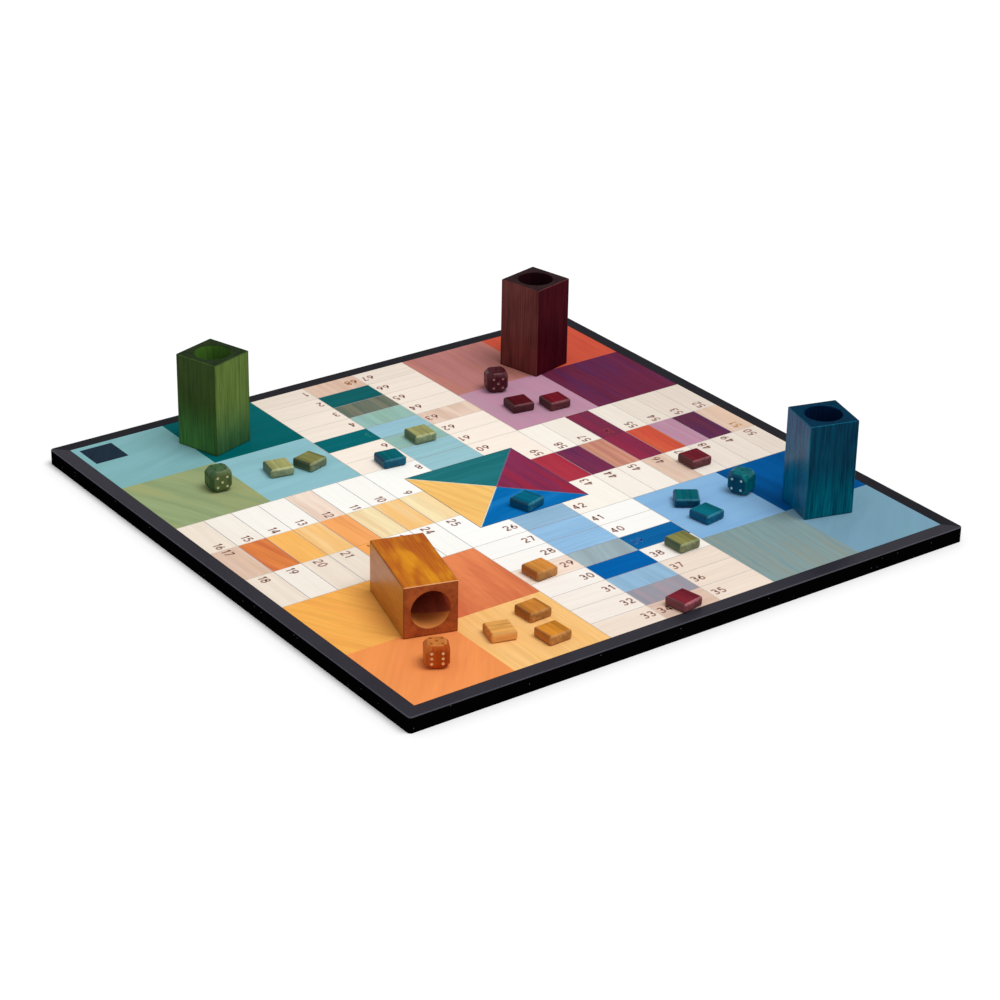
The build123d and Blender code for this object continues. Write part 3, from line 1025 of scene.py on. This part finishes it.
# Strokes of the digits, along the middle of the line, one unit high, with
# the width of each digit
six = [closed_arc(0.27, 0.28, 0.27, 0.28), [(0.015, 0.35), (0.07, 0.52), (0.38, 1.0)]]
digit_strokes = {
    "0": ([closed_arc(0.27, 0.5, 0.27, 0.5)], 0.54),
    "1": ([[(0.0, 0.77), (0.25, 1.0)], [(0.24, 1.07), (0.24, -0.07)]], 0.26),
    "2": ([arc(0.26, 0.73, 0.255, 172, -38, 0.27) + [(0.0, 0.02)], [(-0.04, 0.0), (0.58, 0.0)]], 0.54),
    "3": ([arc(0.26, 0.77, 0.23, 150, -90) + arc(0.26, 0.27, 0.27, 90, -152)[1:]], 0.54),
    "4": ([[(0.40, 1.06), (0.40, -0.07)], [(0.38, 1.0), (0.0, 0.27)], [(-0.04, 0.25), (0.60, 0.25)]], 0.56),
    "5": ([[(0.50, 1.0), (0.04, 1.0)], [(0.10, 1.0), (0.06, 0.50)],
           arc(0.25, 0.31, 0.285, 132, -150, 0.31)], 0.54),
    "6": (six, 0.54),
    "7": ([[(-0.04, 1.0), (0.56, 1.0)], [(0.51, 1.0), (0.17, -0.06)]], 0.54),
    "8": ([closed_arc(0.27, 0.77, 0.22, 0.23), closed_arc(0.27, 0.27, 0.27, 0.27)], 0.54),
    "9": (half_turned(six, 0.54), 0.54),
}


def number_strokes(number, x, y, sizes, side):
    """Strokes of a number beside a place: on its left or its right."""
    scale = sizes.digit_height - sizes.digit_stroke
    digits = [digit_strokes[digit] for digit in str(number)]
    step = sizes.digit_stroke + sizes.digit_spacing
    widths = [width * scale for _, width in digits]
    total = sum(widths) + step * (len(digits) - 1) + sizes.digit_stroke
    left = x - total if side == "left" else x
    cursor = left + sizes.digit_stroke / 2
    lines = []
    for (strokes, _), width in zip(digits, widths):
        for stroke in strokes:
            lines.append([(cursor + u * scale, y - scale / 2 + v * scale) for u, v in stroke])
        cursor += width + step
    return lines


def row_edge(row):
    """The edge of a row of the blue arm nearer to the frame; row 1 is at the frame."""
    return -field_half + (row - 1) * row_pitch


# How far a normal leans along a direction, from 0 to 1, when its face counts as
# facing up, facing sideways, sloping that way, or lying flat along one of a
# block's own sides
up_facing = 0.9
side_facing = 0.5
sloping = 0.3
flat_side = 0.97


def polygon_in_arm(polygon, colour):
    """A polygon's middle, seen as if it were on the blue arm."""
    return arm_turn(colour).inverted() @ polygon.center


def paint_faces(mesh, materials, choose):
    """Give a mesh its materials, one chosen for each polygon."""
    chosen = [choose(polygon) for polygon in mesh.polygons]
    mesh.materials.clear()
    for material in materials:
        mesh.materials.append(material)
    mesh.polygons.foreach_set("material_index", chosen)


def give_materials(node, materials, choose=lambda polygon: 0):
    """Give a carried-over node its materials, one chosen for each polygon."""
    paint_faces(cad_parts[node].data, materials, choose)


def give_veneers(looks, first_seed, seed_step):
    """Dye the nodes that are one veneer each."""
    for number, (node, veneer_look) in enumerate(looks.items()):
        seed = first_seed + seed_step * number
        give_materials(node, [veneer_material(node + "_veneer", veneer_look, node_middle(node), seed)])


class Step:
    """What the operators below share."""

    bl_options = {"REGISTER", "UNDO"}


class PARCHIS_OT_frame_rails(Step, Operator):
    """Lacquer the four rails: satin on top, dull black on the sides"""

    bl_idname = "parchis.frame_rails"
    bl_label = "Frame Rails"

    def execute(self, context):
        finish = context.scene.finish_colours
        near = lacquer_material("satin_black_lacquer", tuple(finish.lacquer), 0.34, 0.03, 0.1)
        # The back and right rails get a darker, duller copy of the lacquer: painted shade.
        far = lacquer_material("shaded_black_lacquer", tuple(finish.thin_lacquer), 0.34, 0.004, 0.1)
        sides = lacquer_material("black_edge_paint", tuple(finish.edge_paint), 0.55, 0.0, 0.25)
        # The sloping arris gets a lighter grey lacquer: a painted highlight.
        arris = lacquer_material("arris_highlight_lacquer", tuple(finish.rubbed_arris), 0.40, 0.03, 0.0)

        def by_facing(polygon):
            if polygon.normal.z > up_facing:
                return 0
            return 2 if polygon.normal.z > sloping else 1

        for side in ("front", "right", "back", "left"):
            top = near if side in ("front", "left") else far
            give_materials("frame_rail_" + side, [top, sides, arris], by_facing)
        return {"FINISHED"}


class PARCHIS_OT_hidden_panel(Step, Operator):
    """Finish the core, its backing veneer and the bare plaque"""

    bl_idname = "parchis.hidden_panel"
    bl_label = "Core, Backing and Plaque"

    def execute(self, context):
        looks = {
            "core_panel": look("core", streaks=0.3, fibres=0.4),
            "backing_veneer": look("backing", turn=90, arch=0.12, rings=0.4, streaks=0.4, fibres=0.3),
            "corner_plaque": look("plaque", turn=45, streaks=0.3, fibres=0.3),
        }
        give_veneers(looks, 5.0, 4.0)
        return {"FINISHED"}


class PARCHIS_OT_home_veneers(Step, Operator):
    """Dye the four veneers of each home and the four centre triangles"""

    bl_idname = "parchis.home_veneers"
    bl_label = "Homes and Centre"

    def execute(self, context):
        triangles = {colour + "_centre_triangle": centre_looks[colour] for colour in colours}
        give_veneers({**home_looks, **triangles}, 0.0, 3.7)
        return {"FINISHED"}


class PARCHIS_OT_arm_veneers(Step, Operator):
    """Dye the corridor cells and cut the pale cells of the four arms"""

    bl_idname = "parchis.arm_veneers"
    bl_label = "Arms of the Cross"

    def execute(self, context):
        for colour in colours:
            self.corridor(colour)
            self.side_columns(colour)
        return {"FINISHED"}

    def cell_middle(self, colour, column, row):
        """The middle of a cell; columns are -1, 0 and 1 from the left."""
        x = column * (corridor_half + arm_half) / 2
        y = row_edge(row) + row_pitch / 2
        return arm_turn(colour) @ Vector((x, y, board_top))

    def corridor(self, colour):
        materials = []
        quarter = 90 * colours.index(colour)
        for row, veneer_look in enumerate(corridor_looks[colour], 1):
            name = "%s_corridor_cell_%d" % (colour, row)
            middle = self.cell_middle(colour, 0, row)
            materials.append(veneer_material(name, veneer_look, middle, 11.3 * row + quarter, quarter))

        def by_row(polygon):
            y = polygon_in_arm(polygon, colour).y
            return min(rows_per_arm - 1, int((y + field_half) / row_pitch))

        give_materials(colour + "_corridor_cells", materials, by_row)

    def side_columns(self, colour):
        quarter = 90 * colours.index(colour)
        materials = [maple_material(colour)]
        for kind, looks, column, seed in (("safe", safe_looks, -1, 21), ("start", start_looks, 1, 25)):
            name = "%s_%s_cell" % (colour, kind)
            middle = self.cell_middle(colour, column, safe_row)
            materials.append(veneer_material(name, looks[colour], middle, seed + quarter, quarter))

        def by_cell(polygon):
            spot = polygon_in_arm(polygon, colour)
            row = 1 + int((spot.y + field_half) / row_pitch)
            if row != safe_row:
                return 0
            return 1 if spot.x < 0 else 2

        give_materials(colour + "_arm_cells", materials, by_cell)


class PARCHIS_OT_joint_lines(Step, Operator):
    """Fill the joints between the veneers"""

    bl_idname = "parchis.joint_lines"
    bl_label = "Joint Lines"

    def execute(self, context):
        finish = context.scene.finish_colours
        for colour in colours:
            tone = getattr(finish, colour + "_joint")
            self.fill(colour + "_pale_joints", turned(self.pale_lines(), colour), tone)
            start = dye_named(start_looks[colour][0])
            self.fill(colour + "_start_joint", turned(self.start_lines(), colour), lighter(start, 0.8)[:3])
        everywhere = {
            "corridor_joints": (self.corridor_lines(), finish.corridor_joint),
            "column_joints": (self.column_lines(), finish.column_joint),
            "home_joints": (self.home_lines(), finish.home_joint),
            "border_joints": (self.border_lines(), finish.border_joint),
        }
        for name, (lines, tone) in everywhere.items():
            self.fill(name, turned(lines, *colours), tone)
        for name, arms, tone in (("yellow_mitre_joints", ("blue", "yellow"), finish.centre_joint),
                                 ("dark_mitre_joints", ("red", "green"), finish.mitre_joint)):
            self.fill(name, turned(self.mitre_lines(), *arms), tone)
        return {"FINISHED"}

    def fill(self, name, lines, tone):
        """Bars of filler, a hair proud of the veneers, along lines of the field."""
        sizes = bpy.context.scene.board_sizes
        filler = plain_finish(name + "_filler", tuple(tone), 0.06, 0.6)
        width = sizes.mitre_width if "mitre" in name else sizes.joint_width
        height = board_top + sizes.joint_crown - sizes.joint_depth / 2
        stroke_piece(name, lines, height, width, sizes.joint_depth, filler)

    def pale_lines(self):
        inner = corridor_half + joint / 2
        outer = arm_half - joint / 2
        lines = []
        for row in range(2, rows_per_arm + 1):
            y = row_edge(row)
            lines.append([(-outer, y), (-inner, y)])
            lines.append([(inner, y), (outer, y)])
        return lines

    def corridor_lines(self):
        end = corridor_half - joint / 2
        return [[(-end, row_edge(row)), (end, row_edge(row))] for row in range(2, rows_per_arm + 1)]

    def column_lines(self):
        """Beside a corridor, all but the stretch between it and the start cell."""
        end = -centre_half - joint / 2
        return [[(-corridor_half, -field_half), (-corridor_half, end)],
                [(corridor_half, -field_half), (corridor_half, row_edge(safe_row))],
                [(corridor_half, row_edge(safe_row + 1)), (corridor_half, end)]]

    def start_lines(self):
        return [[(corridor_half, row_edge(safe_row)), (corridor_half, row_edge(safe_row + 1))]]

    def home_lines(self):
        return [[(-arm_half, -field_half), (-arm_half, -arm_half + joint / 2)],
                [(arm_half, -field_half), (arm_half, -arm_half - joint / 2)]]

    def border_lines(self):
        return [[(-centre_half, -centre_half), (centre_half - joint / 2, -centre_half)]]

    def mitre_lines(self):
        """The joint from the blue triangle's left corner to the middle."""
        edge = centre_half - joint / 2
        return [[(-edge, -edge), (-joint / 2, -joint / 2)]]


class PARCHIS_OT_numbers(Step, Operator):
    """Print the numbers of the track, 1 to 68"""

    bl_idname = "parchis.numbers"
    bl_label = "Numbers"

    blue_middle: IntProperty(
        name="Blue Middle", description="Number at the outer end of the blue corridor", default=34,
        min=1, max=68)
    numbers_per_arm: IntProperty(
        name="Numbers per Arm", description="How many numbers an arm adds to the track", default=17, min=1)

    def execute(self, context):
        sizes = context.scene.board_sizes
        brown = plain_finish("brown_ink", tuple(context.scene.finish_colours.ink), 0.12, 0.5)
        for index, colour in enumerate(colours):
            middle = self.blue_middle + index * self.numbers_per_arm
            middle_ink = plain_finish(colour + "_middle_ink", middle_number_inks[colour], 0.1, 0.5)
            start_ink = plain_finish(colour + "_start_ink", start_number_inks[colour], 0.1, 0.5)
            inset = middle_number_shifts[colour] + sizes.number_margin - corridor_half
            reach = corridor_half + sizes.number_margin
            printed = [
                ("_arm_numbers", self.arm_lines(middle, sizes), brown),
                ("_middle_number", self.number(middle, inset, 1, "right"), middle_ink),
                ("_start_number", self.number(middle + safe_row, reach, safe_row, "right"), start_ink),
            ]
            for name, lines, ink in printed:
                stroke_piece(colour + name, turned(lines, colour), board_top, sizes.digit_stroke,
                             2 * sizes.ink_thickness, ink)
        return {"FINISHED"}

    def number(self, number, x, row, side):
        """Strokes of a number in a row, wrapped round the end of the track."""
        last = len(colours) * self.numbers_per_arm
        y = row_edge(row) + row_pitch / 2
        return number_strokes((number - 1) % last + 1, x, y, bpy.context.scene.board_sizes, side)

    def arm_lines(self, middle, sizes):
        reach = corridor_half + sizes.number_margin
        lines = []
        for row in range(1, rows_per_arm + 1):
            lines += self.number(middle - row, -reach, row, "left")
            if row != safe_row:
                lines += self.number(middle + row, reach, row, "right")
        return lines


def on_arris(polygon):
    """Whether a polygon of a block, as it is made, lies along none of its sides."""
    return max(abs(direction) for direction in polygon.normal) < flat_side


def cup_part(size, bore, floor, easing):
    """Tells a cup's bore, mouth and outside apart by a polygon of its mesh."""
    well_outside = 0.6 * bore
    bore_wall = 1.05 * bore / 2

    def part(polygon):
        x, y, z = polygon.center
        if on_arris(polygon) and hypot(x, y) > well_outside:
            return "arris"
        if abs(z) > size.z / 2 - easing:
            return "end"
        if hypot(x, y) < bore_wall and z > floor / 2 - size.z / 2:
            return "bore"
        return "sides"

    return part


def by_side(part, parts, place, shoulders=False):
    """Chooses a polygon's material: its part's, or its side's on the outside.

    With shoulders, the upper arris of a left side takes that side's colour. Parts
    are told apart by the way they face in the scene: the crest, an upper arris
    facing -Y, is a painted highlight, and the left sides carry the painted light
    and shade listed with the stains."""
    turn = place.to_3x3()

    def choose(polygon):
        name = part(polygon)
        facing = turn @ polygon.normal
        # Crests are painted highlights; left sides carry painted shade on most pieces and painted light on
        # some.
        if name == "arris" and facing.z > sloping and "crest" in parts:
            if facing.y < -sloping:
                name = "crest"
            elif shoulders and facing.x < -sloping:
                name = "left"
        elif name == "sides" and facing.z > up_facing and "up" in parts:
            name = "up"
        elif name == "sides" and facing.x < -side_facing and "left" in parts:
            name = "left"
        return parts.index(name if name in parts else "sides")

    return choose


tipped_forward = Matrix.Rotation(radians(90), 4, "X")


def node_place(node, turn):
    """The middle of a node, with a turn about the upright in degrees."""
    return Matrix.Translation(node_middle(node)) @ Matrix.Rotation(radians(turn), 4, "Z")


def lay_piece(name, node, mesh, place, seed, finishes, choose):
    """Paint a piece that was made round the origin, and lay it where its node was.

    The seed picks its figure. Its flat faces stay flat while the arrises between
    them shade round."""
    paint_faces(mesh, finishes, choose)
    set_down(mesh, place, seed)
    piece = new_piece(name, mesh, node)
    piece.modifiers.new("flat faces", "WEIGHTED_NORMAL").keep_sharp = True
    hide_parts(node)


class PARCHIS_OT_cups(Step, Operator):
    """Bore and stain the four dice cups"""

    bl_idname = "parchis.cups"
    bl_label = "Dice Cups"

    edge_share = 0.55

    def execute(self, context):
        sizes = context.scene.piece_sizes
        size = self.block_size()
        part = cup_part(size, sizes.cup_bore, sizes.cup_floor, sizes.mouth_easing)
        for seed, colour in enumerate(colours):
            node = colour + "_cup"
            finishes = [self.finish(colour, name, size) for name in cup_stains[colour]]
            mesh = made_by(bored_cup, {
                "Size": size, "Arris": sizes.cup_arris, "Bore": sizes.cup_bore, "Floor": sizes.cup_floor,
                "Mouth Easing": sizes.mouth_easing, "Finish": finishes[0]})
            place = node_place(node, cup_turns[colour])
            if colour in lying_cups:
                place = place @ tipped_forward
            choose = by_side(part, list(cup_stains[colour]), place)
            lay_piece(colour + "_dice_cup", node, mesh, place, 10.0 + 3.1 * seed, finishes, choose)
        return {"FINISHED"}

    def finish(self, colour, part, size):
        key = colour + "_" + part
        matt = part in ("end", "bore")
        return stained_material(
            colour + "_cup_" + part + "_stain", cup_stains[colour][part], size / 2,
            cup_figures.get(key, cup_figures[colour]),
            0.0 if part in ("arris", "crest") else self.edge_share, 0.55 if matt else 0.24,
            cup_gloss.get(key, 0.008 if matt else 0.03), cup_fades.get(key, even_fade),
            bore_light_colour if part == "bore" and colour in lying_cups else None)

    def block_size(self):
        """Width from the lying cup's height off the board, length from a standing one's."""
        width = node_size("yellow_cup").z
        return Vector((width, width, node_size("blue_cup").z))


class PARCHIS_OT_dice(Step, Operator):
    """Round, drill and paint the four dice"""

    bl_idname = "parchis.dice"
    bl_label = "Dice"

    figure = (0.35, 0.35, 0.30)
    edge_share = 0.3

    def execute(self, context):
        sizes = context.scene.piece_sizes
        for seed, colour in enumerate(colours):
            node = colour + "_die"
            side = node_size(node).z
            size = Vector((side, side, side))
            finishes = [self.finish(node, part, size) for part in die_stains[colour]]
            paint = plain_finish(node + "_pip_paint", pip_paints[colour], 0.08, 0.5)
            dark_pip_colour = lighter(die_stains[colour]["up"][1], 0.75)[:3]
            worn = plain_finish(node + "_dark_pip_paint", dark_pip_colour, 0.1, 0.5)
            ball = (sizes.pip_diameter ** 2 / 4 + sizes.pip_depth ** 2) / (2 * sizes.pip_depth)
            points = self.pip_points(pip_counts[colour], side / 2 + ball - sizes.pip_depth, sizes.pip_offset)
            source = bpy.data.meshes.new(node + "_pips")
            source.from_pydata(points, [], [])
            mesh = made_by(drilled_die, {
                "Size": size, "Arris": sizes.die_arris, "Corner Radius": sizes.die_corner_radius,
                "Ball Radius": ball, "Finish": finishes[0], "Paint": paint}, source)
            painted = mesh.materials.find(paint.name)
            near_face = 0.4 * side

            # Pips on the top and on the side named above are dark instead of cream; the rest keep the cream
            # paint.
            def part(polygon):
                if polygon.material_index != painted:
                    return "sides"
                x, y, z = polygon.center
                return "worn" if max(z, x * dark_pip_sides[colour]) > near_face else "paint"

            place = node_place(node, die_turns[colour])
            choose = by_side(part, [*die_stains[colour], "paint", "worn"], place)
            finishes += [paint, worn]
            lay_piece(colour + "_drilled_die", node, mesh, place, 30.0 + 2.3 * seed, finishes, choose)
        return {"FINISHED"}

    def finish(self, node, part, size):
        colour = node.split("_")[0]
        glossy = part != "up"
        return stained_material(
            node + "_" + part + "_stain", die_stains[colour][part], size / 2, self.figure, self.edge_share,
            0.22 if glossy else 0.40, die_gloss[colour] if glossy else 0.02)

    def pip_spots(self, count):
        """Where a face's pips sit, in steps of the pip offset."""
        corners = [(-1, -1), (1, 1), (-1, 1), (1, -1)]
        spots = corners[: min(4, count - count % 2)]
        if count % 2:
            spots.append((0, 0))
        if count == 6:
            spots += [(-1, 0), (1, 0)]
        return spots

    def pip_points(self, counts, out, offset):
        """Middles of the balls that cut the pips, over all six faces."""
        top, front, right = counts
        faces = [
            (top, Matrix.Identity(3)),
            (opposite_pip_count - top, Matrix.Rotation(pi, 3, "X")),
            (front, Matrix.Rotation(pi / 2, 3, "X")),
            (opposite_pip_count - front, Matrix.Rotation(-pi / 2, 3, "X")),
            (right, Matrix.Rotation(pi / 2, 3, "Y")),
            (opposite_pip_count - right, Matrix.Rotation(-pi / 2, 3, "Y")),
        ]
        points = []
        for count, turn in faces:
            points += [turn @ Vector((u * offset, v * offset, out)) for u, v in self.pip_spots(count)]
        return points


class PARCHIS_OT_counters(Step, Operator):
    """Cut and stain the sixteen counters"""

    bl_idname = "parchis.counters"
    bl_label = "Counters"

    figure = (0.40, 0.45, 0.30)
    edge_share = 0.45

    def execute(self, context):
        sizes = context.scene.piece_sizes
        side = node_size("red_counter_3").x
        size = Vector((side, node_size("red_counter_3").z, side))
        for colour in colours:
            tones = counter_tones[colour]
            average = sum(tone[1] for tone in tones) / len(tones)
            for number, (turn, top) in enumerate(zip(counter_turns[colour], tones), 1):
                node = "%s_counter_%d" % (colour, number)
                finishes = [self.finish(node + "_up", top, size, 1.0, 0.50, 0.008)]
                for part, tone in counter_sides[colour].items():
                    finishes.append(self.finish(node + "_" + part, tone, size, top[1] / average, 0.30, 0.10))
                values = {"Size": size, "Arris": sizes.counter_arris, "Finish": finishes[0]}
                mesh = made_by(eased_block, values)
                place = node_place(node, turn) @ tipped_forward
                choose = by_side(self.part, ["up", *counter_sides[colour]], place, True)
                name = "%s_tile_%d" % (colour, number)
                lay_piece(name, node, mesh, place, 50.0 + 7.7 * number, finishes, choose)
        return {"FINISHED"}

    def part(self, polygon):
        return "arris" if on_arris(polygon) else "sides"

    def finish(self, name, tone, size, share, roughness, specular):
        stains = (lighter(tone, 1.22 * share)[:3], lighter(tone, 0.60 * share)[:3])
        return stained_material(
            name + "_stain", stains, size / 2, self.figure, self.edge_share, roughness, specular)


class PARCHIS_OT_stage(Step, Operator):
    """Set up the floor, the soft lights and the camera"""

    bl_idname = "parchis.stage"
    bl_label = "Stage"

    floor_size: distance("Floor Size", "Side of the floor", 24.0)
    fill: FloatProperty(name="Fill", description="Strength of the light all round", default=0.52, min=0.0)
    key: FloatProperty(name="Key", description="Strength of the key light", default=1.66, min=0.0)
    key_softness: angle("Key Softness", "How wide the key light looks", 36)
    key_height: angle("Key Height", "The key light's angle above the floor", 70)
    key_bearing: angle("Key Bearing", "Where the key light stands, turned from +X", 305)
    lens: FloatProperty(name="Lens", description="Focal length in millimetres", default=102.317, min=1.0)

    camera_location = (-0.92394, -1.26224, 0.76765)
    camera_turn_in_degrees = (63.885, -0.934, -35.836)
    floor_drop = 0.00005
    floor_glow = 0.04

    def execute(self, context):
        self.floor(context)
        self.world(context)
        self.key_light(context)
        self.camera(context)
        context.scene.view_settings.view_transform = "Standard"
        return {"FINISHED"}

    def floor(self, context):
        half = self.floor_size / 2
        corners = [(-half, -half), (half, -half), (half, half), (-half, half)]
        mesh = bpy.data.meshes.new("floor")
        mesh.from_pydata([(x, y, -self.floor_drop) for x, y in corners], [], [(0, 1, 2, 3)])
        floor = bpy.data.objects.new("floor", mesh)
        context.scene.collection.objects.link(floor)
        colour = tuple(context.scene.finish_colours.floor)
        material, n, shader = new_material("white_floor", colour)
        coated(n, shader, (*colour, 1.0), 0.9, 0.0)
        shader.inputs["Emission Color"].default_value = (1, 1, 1, 1)
        n.feed(shader.inputs["Emission Strength"], n.times(self.seen_directly(n), self.floor_glow))
        mesh.materials.append(material)

    def seen_directly(self, n):
        """1 for the camera's rays and for those that gloss and glass send on."""
        path = n.add("ShaderNodeLightPath").outputs
        seen = n.math("MAXIMUM", path["Is Camera Ray"], path["Is Glossy Ray"])
        return n.math("MAXIMUM", seen, path["Is Transmission Ray"])

    def world(self, context):
        world = bpy.data.worlds.new("white_studio")
        world.use_nodes = True
        context.scene.world = world
        n = Nodes(world.node_tree)
        background = world.node_tree.nodes["Background"]
        background.inputs["Color"].default_value = (1, 1, 1, 1)
        seen = self.seen_directly(n)
        n.feed(background.inputs["Strength"], n.times_plus(seen, 1.0 - self.fill, self.fill))

    def key_light(self, context):
        light = bpy.data.lights.new("key", "SUN")
        light.energy = self.key
        light.angle = self.key_softness
        key = bpy.data.objects.new("key", light)
        key.rotation_euler = Euler((pi / 2 - self.key_height, 0, self.key_bearing + pi / 2))
        context.scene.collection.objects.link(key)

    def camera(self, context):
        data = bpy.data.cameras.new("camera")
        data.lens = self.lens
        data.sensor_width = 36.0
        data.clip_start = 0.01
        camera = bpy.data.objects.new("camera", data)
        camera.location = self.camera_location
        camera.rotation_euler = Euler([radians(turn) for turn in self.camera_turn_in_degrees])
        context.scene.collection.objects.link(camera)
        context.scene.camera = camera


operators = [
    PARCHIS_OT_frame_rails,
    PARCHIS_OT_hidden_panel,
    PARCHIS_OT_home_veneers,
    PARCHIS_OT_arm_veneers,
    PARCHIS_OT_joint_lines,
    PARCHIS_OT_numbers,
    PARCHIS_OT_cups,
    PARCHIS_OT_dice,
    PARCHIS_OT_counters,
    PARCHIS_OT_stage,
]


class VIEW3D_PT_parchis(Panel):
    """Sizes and steps of the board in the sidebar"""

    bl_label = "Parchis Board"
    bl_idname = "VIEW3D_PT_parchis"
    bl_space_type = "VIEW_3D"
    bl_region_type = "UI"
    bl_category = "Parchis"

    def draw(self, context):
        column = self.layout.column(align=True)
        for operator in operators:
            column.operator(operator.bl_idname)
        for group in ("board_sizes", "piece_sizes", "finish_colours", "veneer_dyes"):
            box = self.layout.box()
            settings = getattr(context.scene, group)
            for name in settings.bl_rna.properties.keys():
                if name not in ("rna_type", "name"):
                    box.prop(settings, name)


property_groups = {
    "board_sizes": BoardSizes,
    "piece_sizes": PieceSizes,
    "finish_colours": FinishColours,
    "veneer_dyes": VeneerDyes,
}


def register():
    for group in property_groups.values():
        bpy.utils.register_class(group)
    for operator in operators:
        bpy.utils.register_class(operator)
    bpy.utils.register_class(VIEW3D_PT_parchis)
    for name, group in property_groups.items():
        setattr(bpy.types.Scene, name, PointerProperty(type=group))


def unregister():
    for name in property_groups:
        delattr(bpy.types.Scene, name)
    bpy.utils.unregister_class(VIEW3D_PT_parchis)
    for operator in reversed(operators):
        bpy.utils.unregister_class(operator)
    for group in reversed(list(property_groups.values())):
        bpy.utils.unregister_class(group)


def main():
    register()
    for operator in operators:
        family, name = operator.bl_idname.split(".")
        getattr(getattr(bpy.ops, family), name)()


if __name__ == "__main__":
    main()
